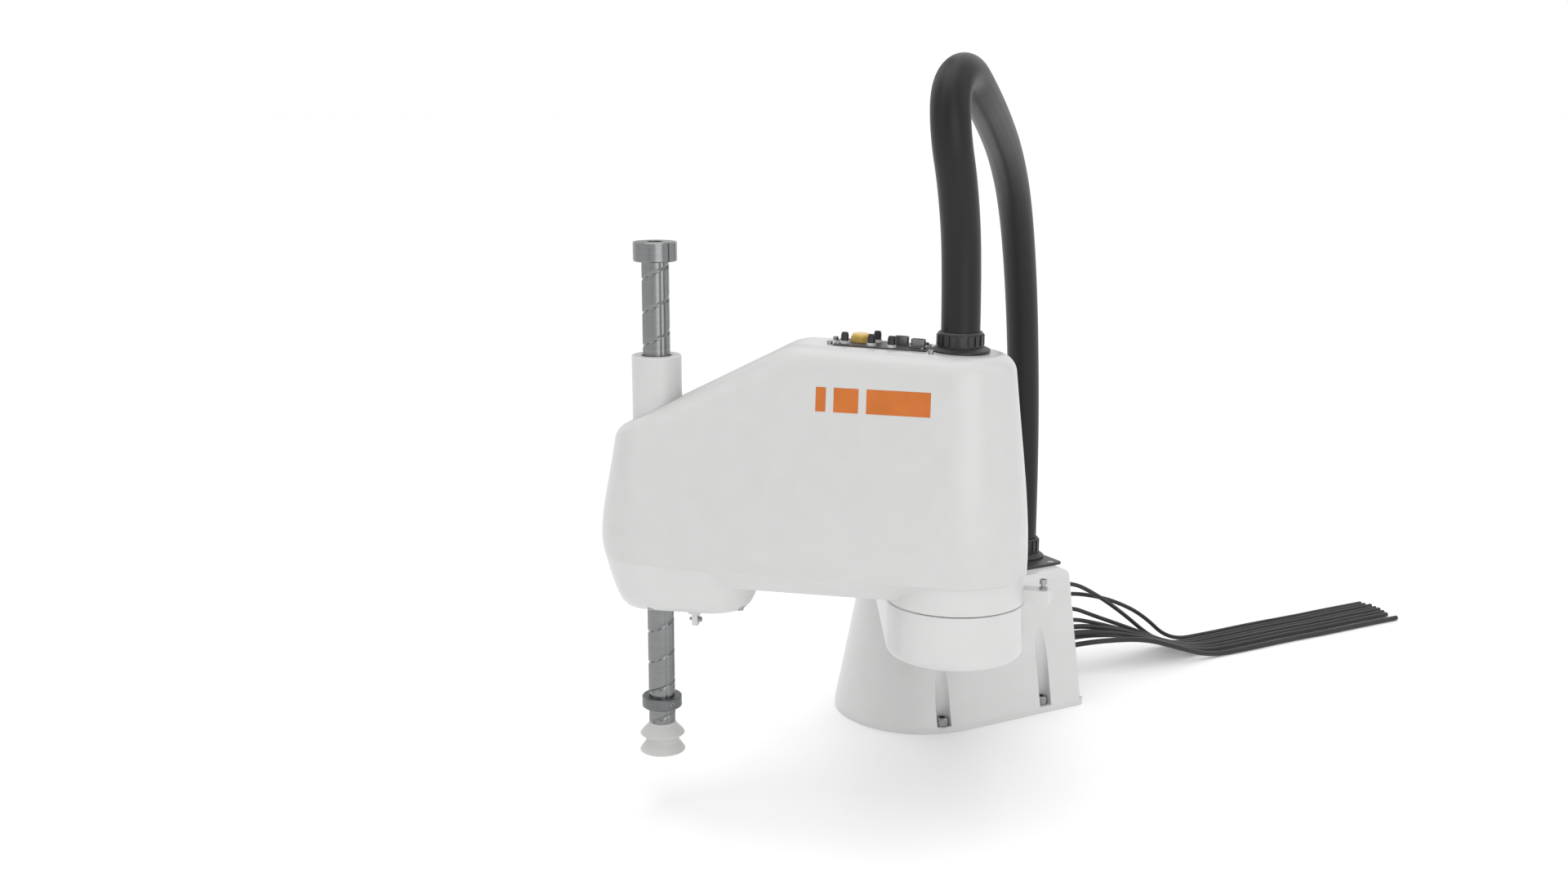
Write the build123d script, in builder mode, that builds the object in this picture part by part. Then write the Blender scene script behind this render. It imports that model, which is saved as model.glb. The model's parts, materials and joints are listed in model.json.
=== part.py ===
"""Four-axis SCARA robot arm with a 325 + 275 mm reach.

The origin is the shoulder axis on the mounting plane. +Z is up, +X points forward, away from the
cable exit, and +Y is to the left. Every piece is drawn in place with the arm at its stored pose.
"""

import os
from math import acos, atan2, cos, degrees, hypot, pi, radians, sin, tan

from build123d import *

os.makedirs("parts", exist_ok=True)

# Driving dimensions, in millimetres and degrees.
INNER_LENGTH = 325.0  # shoulder axis to elbow axis
OUTER_LENGTH = 275.0  # elbow axis to quill axis
SHOULDER_ANGLE = 61.4  # stored heading of the inner arm
ELBOW_ANGLE = -103.5  # stored turn of the outer arm against the inner arm

BASE_RADIUS = 92.4  # round front of the base, and half its width
BASE_BACK = 161.0  # flange's back edge behind the shoulder axis
BODY_BACK = 159.0  # upright back wall
FLANGE_TOP = 7.0
DECK_TOP = 149.0  # rear deck under the hose
HUB_TOP = 173.0
HUB_RADIUS = 60.4
BOLT_FRONT = 25.0
BOLT_BACK = -107.0
BOLT_SIDE = 83.0
BOLT_HOLE_RADIUS = 4.5
SLOT_RADIUS = 7.6

LINK_RADIUS = 61.4  # half-width of the inner arm
INNER_BOTTOM = 174.0
INNER_TOP = 224.0
CASTING_BOTTOM = 225.0  # outer arm's neck
PARTING = 250.0  # casting below, cover above
COVER_WALL = 3.5

QUILL_RADIUS = 12.5
QUILL_BOTTOM = 84.0
QUILL_TOP = 536.0
QUILL_BORE = 7.0
RUNNING_GAP = 0.05
SLEEVE_RADIUS = 22.6
SLEEVE_BOTTOM = 330.0
SLEEVE_TOP = 434.0

HOSE_RADIUS = 17.0
HOSE_HOLE = 14.0
HOSE_BACK = -137.0  # where the hose stands on the rear deck
HOSE_LOW = 175.0
HOSE_HIGH = 464.0

shoulder = Plane.XY
inner = Plane.XY.rotated((0, 0, SHOULDER_ANGLE))
elbow_x = INNER_LENGTH * cos(radians(SHOULDER_ANGLE))
elbow_y = INNER_LENGTH * sin(radians(SHOULDER_ANGLE))
heading = SHOULDER_ANGLE + ELBOW_ANGLE
outer = Plane((elbow_x, elbow_y, 0), (cos(radians(heading)), sin(radians(heading)), 0), (0, 0, 1))
quill_origin = outer.from_local_coords(Vector(OUTER_LENGTH, 0, 0))
quill = Plane(quill_origin, outer.x_dir, (0, 0, 1))
quill_place = ((OUTER_LENGTH, 0),)  # on the outer plane


def save(piece, label):
    """Labels a finished piece and writes its STEP file."""
    piece.part.label = label
    export_step(piece.part, f"parts/{label}.step")


def d_outline(plane, radius, back, corner=0.0):
    """Flat outline with a half-round front and a straight back."""
    with BuildSketch(plane) as profile:
        with BuildLine():
            CenterArc((0, 0), radius, -90, 180)
            corners = [(0, radius), (-back, radius), (-back, -radius), (0, -radius)]
            if corner:
                FilletPolyline(*corners, radius=corner)
            else:
                Polyline(*corners)
        make_face()
    return profile.sketch


def link_outline(plane, near_radius, far_radius, near=0.0, far=OUTER_LENGTH):
    """Two circles on the X axis joined by their common tangents."""
    lean = acos((near_radius - far_radius) / (far - near))
    near_point = (near + near_radius * cos(lean), near_radius * sin(lean))
    far_point = (far + far_radius * cos(lean), far_radius * sin(lean))
    with BuildSketch(plane) as profile:
        with BuildLine():
            Line(near_point, far_point)
            ThreePointArc(far_point, (far + far_radius, 0), (far_point[0], -far_point[1]))
            Line((far_point[0], -far_point[1]), (near_point[0], -near_point[1]))
            ThreePointArc((near_point[0], -near_point[1]), (near - near_radius, 0), near_point)
        make_face()
    return profile.sketch


def tube(plane, bottom, top, radius, bore=0.0, places=((0, 0),), mode=Mode.ADD):
    """Upright round bar or ring between two heights."""
    with BuildSketch(plane.offset(bottom)) as profile:
        with Locations(*places):
            Circle(radius)
            if bore:
                Circle(bore, mode=Mode.SUBTRACT)
    extrude(profile.sketch, amount=top - bottom, mode=mode)


def block(plane, bottom, top, length, width, places=((0, 0),), corner=0.0, mode=Mode.ADD):
    """Upright rectangular block between two heights."""
    with BuildSketch(plane.offset(bottom)) as profile:
        with Locations(*places):
            if corner:
                RectangleRounded(length, width, corner)
            else:
                Rectangle(length, width)
    extrude(profile.sketch, amount=top - bottom, mode=mode)


def cap_screw(plane, seat, thread_radius, length, places, up=True):
    """Socket cap screws: shank below the seat, head above it, or the other way up."""
    head = thread_radius * 1.65
    side = 1 if up else -1
    with BuildSketch(plane.offset(seat)) as heads:
        with Locations(*places):
            Circle(head)
    extrude(heads.sketch, amount=side * thread_radius * 2)
    with BuildSketch(plane.offset(seat)) as shanks:
        with Locations(*places):
            Circle(thread_radius)
    extrude(shanks.sketch, amount=-side * length)
    with BuildSketch(plane.offset(seat + side * thread_radius * 2)) as sockets:
        with Locations(*places):
            RegularPolygon(thread_radius * 0.85, 6)
    extrude(sockets.sketch, amount=-side * thread_radius, mode=Mode.SUBTRACT)


# ---------------------------------------------------------------- base
BASE_TAPER = degrees(atan2(BASE_RADIUS - HUB_RADIUS, HUB_TOP - FLANGE_TOP))
DECK_ROUND = 8.0
TAPER_ALLOWANCE = 80.0  # extra length that the taper takes off again behind the back wall
CAVITY_RADIUS = 67.0
CAVITY_BACK = 151.0
CAVITY_TOP = 141.0
CAVITY_TAPER = 4.5
REDUCER_RADIUS = 46.0
WINDOW_BOTTOM = 24.0
WINDOW_TOP = 124.0
WINDOW_WIDTH = 64.0
bolt_places = [(x, y) for x in (BOLT_FRONT, BOLT_BACK) for y in (-BOLT_SIDE, BOLT_SIDE)]

with BuildPart() as base_casting:
    body_outline = d_outline(Plane.XY.offset(FLANGE_TOP), BASE_RADIUS, BASE_BACK + TAPER_ALLOWANCE)
    extrude(body_outline, amount=DECK_TOP - FLANGE_TOP, taper=BASE_TAPER)
    split(bisect_by=Plane.YZ.offset(-BODY_BACK), keep=Keep.TOP)
    back_wall = base_casting.faces().sort_by(Axis.X)[0]
    back_edges = back_wall.edges().filter_by(lambda edge: abs(edge.tangent_at(0.5).Z) > 0.9)
    deck_edges = base_casting.faces().sort_by(Axis.Z)[-1].edges().filter_by(GeomType.LINE)
    fillet(back_edges + deck_edges, DECK_ROUND)
    with Locations((0, 0, FLANGE_TOP)):
        Cone(BASE_RADIUS, HUB_RADIUS, HUB_TOP - FLANGE_TOP, align=(Align.CENTER, Align.CENTER, Align.MIN))
    extrude(d_outline(Plane.XY, BASE_RADIUS, BASE_BACK, 6), amount=FLANGE_TOP)
    cavity_outline = d_outline(Plane.XY, CAVITY_RADIUS, CAVITY_BACK)
    extrude(cavity_outline, amount=CAVITY_TOP, taper=CAVITY_TAPER, mode=Mode.SUBTRACT)
    tube(shoulder, CAVITY_TOP - 5, HUB_TOP, REDUCER_RADIUS, mode=Mode.SUBTRACT)
    with BuildSketch(Plane.XY.offset(FLANGE_TOP)):
        with Locations(*bolt_places):
            Circle(SLOT_RADIUS)
        for x, y in bolt_places:
            with Locations((x, y + (12 if y > 0 else -12))):
                Rectangle(2 * SLOT_RADIUS, 24)
    extrude(amount=110, mode=Mode.SUBTRACT)
    tube(shoulder, 0, FLANGE_TOP, BOLT_HOLE_RADIUS, places=bolt_places, mode=Mode.SUBTRACT)
    with BuildSketch(Plane.YZ.offset(-BODY_BACK - 5)):
        with Locations((0, (WINDOW_BOTTOM + WINDOW_TOP) / 2)):
            RectangleRounded(WINDOW_WIDTH, WINDOW_TOP - WINDOW_BOTTOM, 5)
    extrude(amount=30, mode=Mode.SUBTRACT)
    tube(shoulder, CAVITY_TOP - 5, DECK_TOP, HOSE_HOLE, places=((HOSE_BACK, 0),), mode=Mode.SUBTRACT)
save(base_casting, "base_casting")

with BuildPart() as shoulder_reducer:
    tube(shoulder, 136, HUB_TOP, REDUCER_RADIUS - 0.02)
    tube(shoulder, 150, HUB_TOP, 30 + RUNNING_GAP, mode=Mode.SUBTRACT)
    tube(shoulder, 136, 150, 7, mode=Mode.SUBTRACT)
save(shoulder_reducer, "shoulder_reducer")

with BuildPart() as shoulder_motor:
    block(shoulder, 52, 135.9, 60, 60, corner=6)
    tube(shoulder, 38, 52, 25)
    block(shoulder, 60, 78, 14, 26, places=((-37, 0),), corner=2)
    tube(shoulder, 135.9, 148, 6.5)
    fillet(shoulder_motor.faces().sort_by(Axis.Z)[0].edges(), 3)
save(shoulder_motor, "shoulder_motor")

PANEL_THICK = 2.0
panel_face = Plane((-BODY_BACK - PANEL_THICK, 0, 0), (0, -1, 0), (-1, 0, 0))
rear_screw_places = [(side, height) for side in (-34, 34) for height in (20, 128)]
SCREW_RADIUS = 2.0
FLAT_HEAD_RADIUS = 3.9
with BuildPart() as rear_panel:
    with BuildSketch(panel_face) as outline:
        with Locations((0, 74)):
            RectangleRounded(78, 118, 4)
        with Locations(*rear_screw_places):
            Circle(SCREW_RADIUS, mode=Mode.SUBTRACT)
    extrude(outline.sketch, amount=-PANEL_THICK)
save(rear_panel, "rear_panel")

# Cable tails: diameter, exit from the rear panel as (y, z), points in the air, first and last lane
# on the floor, and the end's x.
GLAND_END = -183.0
FIRST_RUN_END = -213.0
tails = {
    "cable_1": (
        5,
        (-4, 109),
        [(-250, -5, 90), (-298, -7, 57), (-345, -10, 19), (-380, -11, 2.5)],
        (-11, -7),
        -718,
    ),
    "cable_2": (
        5,
        (-10, 93),
        [(-250, -13, 85), (-295, -17, 69), (-342, -21, 44), (-389, -22, 2.5)],
        (-22, -14),
        -718,
    ),
    "cable_3": (
        5,
        (-3, 79),
        [(-250, -3, 62), (-298, -4, 41), (-345, -4, 20), (-385, -4, 2.5)],
        (-4, 0),
        -722,
    ),
    "cable_4": (
        5,
        (0, 65),
        [(-250, 1, 54), (-298, 3, 37), (-345, 4, 18), (-390, 4, 2.5)],
        (4, 10),
        -719,
    ),
    "cable_5": (
        6,
        (6, 57.5),
        [(-250, 9, 51), (-298, 11, 37), (-345, 12, 20), (-395, 12.5, 3)],
        (12.5, 19),
        -716,
    ),
    "cable_6": (
        6,
        (13, 52.5),
        [(-250, 17, 47), (-298, 25, 36), (-345, 30, 19), (-395, 31, 3)],
        (31, 38),
        -708,
    ),
    "cable_7": (
        6,
        (6, 44),
        [(-250, 11, 42.5), (-298, 17, 35), (-345, 21, 19), (-395, 22, 3)],
        (22, 29),
        -712,
    ),
    "cable_8": (
        6,
        (13, 37),
        [(-250, 25, 39.5), (-298, 38, 37), (-345, 45, 20), (-392, 46, 3)],
        (46, 54),
        -708,
    ),
}
FLOOR_STEPS = (0.18, 0.40, 0.62, 0.82, 1.0)
FLOOR_DRIFT = (1.5, -1.0, 0.8, -0.6, 0.0)


def corner_radii(points):
    """Largest tangent arcs for a route: 0.45 of the shorter run over the tangent of half the turn."""
    radii = []
    for before, here, after in zip(points, points[1:], points[2:]):
        run_in = Vector(*here) - Vector(*before)
        run_out = Vector(*after) - Vector(*here)
        half_turn = radians(run_in.get_angle(run_out)) / 2
        radii.append(0.45 * min(run_in.length, run_out.length) / tan(half_turn))
    return radii


def cord(points, radius, label):
    """Round cord along straight runs and tangent arcs. Prints its radii and checks its volume."""
    radii = corner_radii(points)
    with BuildPart() as solid:
        with BuildLine() as route:
            FilletPolyline(*points, radius=radii)
        path = route.wires()[0]
        with BuildSketch(Plane(path @ 0, z_dir=path % 0)) as section:
            Circle(radius)
        sweep(section.sketch, path=path)
    expected = pi * radius**2 * path.length
    print(label, "length", round(path.length, 1), "radii", [round(r) for r in radii])
    print("  volume over section times length:", round(solid.part.volume / expected, 4))
    save(solid, label)


for label, (diameter, (exit_y, exit_z), air, (first_lane, last_lane), end_x) in tails.items():
    touch_x = air[-1][0]
    floor = []
    for share, drift in zip(FLOOR_STEPS, FLOOR_DRIFT):
        lane = first_lane + (last_lane - first_lane) * share
        floor.append((touch_x + (end_x - touch_x) * share, lane + drift, diameter / 2))
    start = [(GLAND_END, exit_y, exit_z), (FIRST_RUN_END, exit_y, exit_z)]
    cord(start + air + floor, diameter / 2, label)

with BuildPart() as cable_glands:
    for diameter, (exit_y, exit_z), *rest in tails.values():
        plane = Plane((-BODY_BACK - PANEL_THICK, exit_y, exit_z), (0, 1, 0), (-1, 0, 0))
        with BuildSketch(plane) as nut:
            Circle(diameter / 2 + 1.2)
        extrude(nut.sketch, amount=10)
        with BuildSketch(plane.offset(10)) as cone_start:
            Circle(diameter / 2 + 1.0)
        extrude(cone_start.sketch, amount=12, taper=4)
save(cable_glands, "cable_glands")

# ---------------------------------------------------------------- hose and its fittings
HOSE_PLATE_TOP = 152.0
HOSE_FLANGE_RADIUS = 26.0
HOSE_SEAT = 446.5  # upper flange's underside, let into the cover
LOWER_NUT_BOTTOM = 158.0
UPPER_NUT_BOTTOM = 451.0
plate_screw_places = [(-152, -36), (-152, 36), (-106, -36), (-106, 36)]
with BuildPart() as hose_plate:
    block(shoulder, DECK_TOP, HOSE_PLATE_TOP, 66, 86, places=((-130, 0),), corner=4)
    chamfer(hose_plate.faces().sort_by(Axis.Z)[-1].edges(), 0.6)
    tube(shoulder, DECK_TOP, HOSE_PLATE_TOP, HOSE_HOLE, places=((HOSE_BACK, 0),), mode=Mode.SUBTRACT)
    tube(shoulder, DECK_TOP, HOSE_PLATE_TOP, SCREW_RADIUS, places=plate_screw_places, mode=Mode.SUBTRACT)
    tube(shoulder, HOSE_PLATE_TOP - 1.6, HOSE_PLATE_TOP, 4, places=plate_screw_places, mode=Mode.SUBTRACT)
save(hose_plate, "hose_plate")

with BuildPart() as plate_screws:
    tube(shoulder, DECK_TOP, HOSE_PLATE_TOP - 1.6, SCREW_RADIUS, places=plate_screw_places)
    tube(shoulder, HOSE_PLATE_TOP - 1.6, HOSE_PLATE_TOP - 0.2, FLAT_HEAD_RADIUS, places=plate_screw_places)
    tube(panel_face, -PANEL_THICK, 0, SCREW_RADIUS, places=rear_screw_places)
    tube(panel_face, 0, 1.4, FLAT_HEAD_RADIUS, places=rear_screw_places)
save(plate_screws, "plate_screws")

hose_foot = Plane((HOSE_BACK, 0, 0))
hose_head = Plane((elbow_x, elbow_y, 0))
RIB_COUNT = 18


def hose_flange(plane, bottom, top, label):
    """Flared ring that the ribbed nut screws onto."""
    with BuildPart() as ring:
        tube(plane, bottom, bottom + 2, HOSE_FLANGE_RADIUS)
        with BuildSketch(plane.offset(bottom + 2)) as wide:
            Circle(HOSE_FLANGE_RADIUS)
        with BuildSketch(plane.offset(top)) as narrow:
            Circle(21)
        loft([wide.sketch, narrow.sketch])
        tube(plane, bottom, top, HOSE_HOLE, mode=Mode.SUBTRACT)
    save(ring, label)


def hose_nut(plane, bottom, top, label):
    """Union nut with upright grip ribs."""
    with BuildPart() as nut:
        tube(plane, bottom, top, 19.6, bore=HOSE_HOLE)
        chamfer(nut.faces().sort_by(Axis.Z)[-1].outer_wire().edges(), 1.2)
        with BuildSketch(plane.offset(bottom + 1.5)) as ribs:
            with PolarLocations(19.2, RIB_COUNT):
                Rectangle(3.0, 4.2)
        extrude(ribs.sketch, amount=top - bottom - 4)
    save(nut, label)


hose_flange(hose_foot, HOSE_PLATE_TOP, LOWER_NUT_BOTTOM, "lower_hose_flange")
hose_nut(hose_foot, LOWER_NUT_BOTTOM, HOSE_LOW, "lower_hose_nut")
hose_flange(hose_head, HOSE_SEAT, UPPER_NUT_BOTTOM, "upper_hose_flange")
hose_nut(hose_head, UPPER_NUT_BOTTOM, HOSE_HIGH, "upper_hose_nut")

# Hose route: distance from the rear fitting towards the elbow axis, height, and shift to the right.
hose_span = hypot(elbow_x - HOSE_BACK, elbow_y)
hose_route = [
    (0, HOSE_LOW, 0),
    (0, 262, 0),
    (17, 360, 0),
    (57, 470, 0),
    (114, 557, 0),
    (186, 609, 0),
    (270, 643, 0),
    (345, 667, 0),
    (398, 686, 3),
    (436, 671, 8),
    (448, 633, 5),
    (429, 588, 1),
    (hose_span, 528, 0),
    (hose_span, HOSE_HIGH, 0),
]
hose_dx = (elbow_x - HOSE_BACK) / hose_span
hose_dy = elbow_y / hose_span
hose_points = [
    (HOSE_BACK + hose_dx * along + hose_dy * shift, hose_dy * along - hose_dx * shift, height)
    for along, height, shift in hose_route
]
cord(hose_points, HOSE_RADIUS, "hose")

# ---------------------------------------------------------------- inner arm
OUTPUT_RADIUS = 30.0
ELBOW_BORE = 45.0
ELBOW_SHAFT = 25.0
INNER_FLOOR = 182.0
LID_TOP = 177.0
lid_screw_places = [(x, y) for x in (70, 162, 255) for y in (-48, 48)]

with BuildPart() as inner_arm_casting:
    arm_outline = link_outline(inner.offset(INNER_BOTTOM), LINK_RADIUS, LINK_RADIUS - 0.01, 0, INNER_LENGTH)
    extrude(arm_outline, amount=INNER_TOP - INNER_BOTTOM)
    fillet(inner_arm_casting.faces().sort_by(Axis.Z)[0].edges(), 8)
    fillet(inner_arm_casting.faces().sort_by(Axis.Z)[-1].edges(), 1.5)
    block(inner, INNER_BOTTOM, LID_TOP, 205, 106, places=((162.5, 0),), corner=8, mode=Mode.SUBTRACT)
    block(inner, LID_TOP, 214, 190, 88, places=((162.5, 0),), corner=12, mode=Mode.SUBTRACT)
    for x in (115, 210):
        block(inner, LID_TOP + 6, 214, 5, 88, places=((x, 0),))
    tube(inner, INNER_BOTTOM, 186, OUTPUT_RADIUS, mode=Mode.SUBTRACT)
    tube(inner, INNER_FLOOR, INNER_TOP, ELBOW_BORE, places=((INNER_LENGTH, 0),), mode=Mode.SUBTRACT)
    tube(inner, LID_TOP, LID_TOP + 8, 1.5, places=lid_screw_places, mode=Mode.SUBTRACT)
save(inner_arm_casting, "inner_arm_casting")

with BuildPart() as inner_arm_lid:
    block(inner, INNER_BOTTOM + 0.4, LID_TOP, 204.6, 105.6, places=((162.5, 0),), corner=7.8)
    tube(inner, INNER_BOTTOM, LID_TOP, 1.6, places=lid_screw_places, mode=Mode.SUBTRACT)
    tube(inner, INNER_BOTTOM, LID_TOP - 1.2, 3.1, places=lid_screw_places, mode=Mode.SUBTRACT)
save(inner_arm_lid, "inner_arm_lid")

with BuildPart() as inner_lid_screws:
    tube(inner, LID_TOP - 1.2, LID_TOP + 8, 1.5, places=lid_screw_places)
    tube(inner, INNER_BOTTOM + 0.6, LID_TOP - 1.2, 2.9, places=lid_screw_places)
save(inner_lid_screws, "inner_lid_screws")

with BuildPart() as shoulder_output:
    tube(inner, 151, 185.8, OUTPUT_RADIUS - 0.01)
    chamfer(shoulder_output.faces().sort_by(Axis.Z)[0].edges(), 1)
save(shoulder_output, "shoulder_output")

with BuildPart() as elbow_reducer:
    tube(inner, INNER_FLOOR, INNER_TOP, ELBOW_BORE - 0.02, places=((INNER_LENGTH, 0),))
    tube(inner, 190, INNER_TOP, ELBOW_SHAFT + RUNNING_GAP, places=((INNER_LENGTH, 0),), mode=Mode.SUBTRACT)
save(elbow_reducer, "elbow_reducer")

# ---------------------------------------------------------------- outer arm
CASTING_RADIUS = 62.5
NOSE_RADIUS = 50.3
BULGE_BACK = 224.0
QUILL_HOLE = 20.6
BEARING_RADIUS = 29.0
NUT_RADIUS = 19.95

BULGE_BOTTOM = 203.0
BEARING_FLOOR = 209.0
POCKET_FLOOR = 242.0
LUG_WIDTH = 15.0
underside_screw_places = [(OUTER_LENGTH, 30), (OUTER_LENGTH, -30), (195, 13), (195, -13)]
bulge_profile = ((BULGE_BOTTOM, 32.5), (207, 36), (214, 39.5), (230, 45), (PARTING, NOSE_RADIUS))

with BuildPart() as outer_arm_casting:
    loft([link_outline(outer.offset(z), r, r - 0.01, BULGE_BACK) for z, r in bulge_profile], ruled=True)
    beam_bottom = link_outline(outer.offset(229.5), 40, 35)
    loft([beam_bottom, link_outline(outer.offset(PARTING), CASTING_RADIUS, 49)], ruled=True)
    tube(outer, CASTING_BOTTOM, PARTING, LINK_RADIUS)
    block(outer, CASTING_BOTTOM + 0.5, 237, 34, LUG_WIDTH, places=((-68, 0),), corner=3)
    tube(outer, CASTING_BOTTOM, 237, 2, places=((-78, 0),), mode=Mode.SUBTRACT)
    tube(outer, CASTING_BOTTOM, 236, ELBOW_SHAFT, mode=Mode.SUBTRACT)
    tube(outer, 236, PARTING, 8, mode=Mode.SUBTRACT)
    tube(outer, BULGE_BOTTOM, PARTING, QUILL_HOLE, places=quill_place, mode=Mode.SUBTRACT)
    tube(outer, BEARING_FLOOR, PARTING, BEARING_RADIUS, places=quill_place, mode=Mode.SUBTRACT)
    tube(outer, POCKET_FLOOR, PARTING, 41, places=quill_place, mode=Mode.SUBTRACT)
    block(outer, POCKET_FLOOR, PARTING, 190, 84, places=((157, 0),), corner=10, mode=Mode.SUBTRACT)
    tube(outer, BULGE_BOTTOM, 206.5, 5, places=underside_screw_places, mode=Mode.SUBTRACT)
    tube(outer, 206.5, BEARING_FLOOR, 2, places=underside_screw_places, mode=Mode.SUBTRACT)
save(outer_arm_casting, "outer_arm_casting")

with BuildPart() as underside_screws:
    cap_screw(outer, 206.5, 2, 2.4, underside_screw_places, up=False)
save(underside_screws, "underside_screws")

with BuildPart() as underside_ring:
    tube(outer, 201.5, BULGE_BOTTOM, 24.5, bore=QUILL_HOLE, places=quill_place)
    chamfer(underside_ring.faces().sort_by(Axis.Z)[0].outer_wire().edges(), 0.8)
save(underside_ring, "underside_ring")

with BuildPart() as stop_screw:
    cap_screw(outer, 242, 2, 17, ((-78, 0),))
    tube(outer, 237, 239, 3.6, bore=2, places=((-78, 0),))
save(stop_screw, "stop_screw")

CLIP_BOTTOM = 189.0
clip_place = Plane(outer.from_local_coords(Vector(OUTER_LENGTH - 41, 24, 0)), outer.x_dir, (0, 0, 1))
clip_face = Plane(clip_place.from_local_coords(Vector(-2.5, 0, 194.5)), outer.y_dir, -outer.x_dir)
with BuildPart() as hanging_clip:
    block(clip_place, CLIP_BOTTOM, BULGE_BOTTOM, 5, 9)
    fillet(hanging_clip.faces().sort_by(Axis.Z)[0].edges().filter_by(lambda edge: edge.length < 6), 2)
    block(clip_place, 200.5, BULGE_BOTTOM, 11, 12, corner=1.5)
    with BuildSketch(clip_face) as pin_hole:
        Circle(1.5)
    extrude(pin_hole.sketch, amount=-5, mode=Mode.SUBTRACT)
save(hanging_clip, "hanging_clip")

with BuildPart() as clip_screw:
    cap_screw(clip_face, 0, 1.5, 8, ((0, 0),))
save(clip_screw, "clip_screw")

TOP_AT_ELBOW = 446.0
CREST = 143.0
TOP_AT_CREST = 452.0
EDGE_ROUND = 17.0
ABOVE_ROOF = 470.0  # clear of the cover's highest point
cover_levels = (
    (PARTING, 63, NOSE_RADIUS),
    (285, 63, 51.8),
    (320, 60.8, 45.8),
    (360, 56.8, 38.6),
    (400, 52.4, 31.4),
    (460, 46, 20.6),
)


def cover_solid(inset, edge_round):
    """Outer arm cover's rounded body, pulled in by inset."""
    with BuildPart() as hull:
        loft([link_outline(outer.offset(z), near - inset, far - inset) for z, near, far in cover_levels])
        with BuildSketch(Plane(outer.origin, outer.x_dir, -outer.y_dir)) as side:
            with BuildLine():
                crown = [(-90, TOP_AT_ELBOW - 3 - inset), (CREST, TOP_AT_CREST - inset), (340, 352 - inset)]
                FilletPolyline(*crown, radius=45)
                Polyline(crown[-1], (340, PARTING), (-90, PARTING), crown[0])
            make_face()
        extrude(side.sketch, amount=90, both=True, mode=Mode.INTERSECT)
        fillet(hull.edges().filter_by(lambda edge: edge.center().Z > 345), edge_round)
    return hull.part


roof_tilt = atan2(TOP_AT_CREST - TOP_AT_ELBOW + 3, CREST + 90)
roof_x = outer.x_dir * cos(roof_tilt) + Vector(0, 0, sin(roof_tilt))
roof_origin = outer.from_local_coords(Vector(CREST, 0, TOP_AT_CREST))
roof = Plane(roof_origin, roof_x, roof_x.cross(outer.y_dir))
PANEL_CENTRE = (68 - CREST, 0)
PANEL_SIZE = (82.0, 40.0)
PANEL_WINDOW = (66.0, 26.0)
roof_screw_places = [(22 - CREST, -26), (22 - CREST, 26), (112.5 - CREST, -13.5), (112.5 - CREST, 13.5)]

with BuildPart() as outer_arm_cover:
    add(cover_solid(0, EDGE_ROUND))
    add(cover_solid(COVER_WALL, EDGE_ROUND - COVER_WALL), mode=Mode.SUBTRACT)
    tube(outer, SLEEVE_BOTTOM, ABOVE_ROOF, SLEEVE_RADIUS, places=quill_place, mode=Mode.SUBTRACT)
    tube(outer, 430, ABOVE_ROOF, HOSE_HOLE, mode=Mode.SUBTRACT)
    tube(outer, HOSE_SEAT, ABOVE_ROOF, HOSE_FLANGE_RADIUS, mode=Mode.SUBTRACT)
    block(roof, -12, 5, *PANEL_WINDOW, places=(PANEL_CENTRE,), corner=3, mode=Mode.SUBTRACT)
    tube(roof, -12, 5, 1.5, places=roof_screw_places, mode=Mode.SUBTRACT)
save(outer_arm_cover, "outer_arm_cover")

with BuildPart() as upper_sleeve:
    tube(outer, SLEEVE_BOTTOM, SLEEVE_TOP, SLEEVE_RADIUS, bore=14, places=quill_place)
    chamfer(upper_sleeve.faces().sort_by(Axis.Z)[-1].edges(), 0.8)
save(upper_sleeve, "upper_sleeve")

# Control panel. Its places are measured on the roof plane, from the crest.
PLATE = 1.2
PANEL_SCREW_RADIUS = 1.0
fitting_places = [(x - CREST, y) for x, y in ((100, 10.4), (76, 12.7), (58, 14.9), (74.5, -10))]
lamp_places = [(88 - CREST, -6.5)]
connector_places = [(52 - CREST, -5), (36 - CREST, 4.6)]
panel_screw_places = [(x - CREST, y) for x in (31, 105) for y in (-16, 16)]

with BuildPart() as control_panel:
    block(roof, 0, PLATE, *PANEL_SIZE, places=(PANEL_CENTRE,), corner=2)
    tube(roof, 0, PLATE, PANEL_SCREW_RADIUS, places=panel_screw_places, mode=Mode.SUBTRACT)
save(control_panel, "control_panel")

with BuildPart() as roof_screws:
    cap_screw(roof, PLATE, PANEL_SCREW_RADIUS, PLATE, panel_screw_places)
    cap_screw(roof, 0.05, 1.5, 7, roof_screw_places)
save(roof_screws, "roof_screws")

FITTING_BASE = PLATE + 2.5
FITTING_COLLAR = PLATE + 8.0
FITTING_TOP = PLATE + 9.8
STUB_RADIUS = 2.2
PORT_RADIUS = 2.0
PORT_LENGTH = 6.0
with BuildPart() as fitting_bases:
    with BuildSketch(roof.offset(PLATE)) as hexes:
        with Locations(*fitting_places):
            RegularPolygon(4.2, 6)
            Circle(STUB_RADIUS, mode=Mode.SUBTRACT)
    extrude(hexes.sketch, amount=FITTING_BASE - PLATE)
save(fitting_bases, "fitting_bases")

with BuildPart() as air_fittings:
    tube(roof, PLATE, FITTING_BASE, STUB_RADIUS, places=fitting_places)
    tube(roof, FITTING_BASE, FITTING_COLLAR, 3.4, places=fitting_places)
    tube(roof, FITTING_COLLAR, FITTING_TOP, 2.9, places=fitting_places)
    tube(roof, FITTING_TOP - PORT_LENGTH, FITTING_TOP, PORT_RADIUS, places=fitting_places, mode=Mode.SUBTRACT)
save(air_fittings, "air_fittings")

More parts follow.
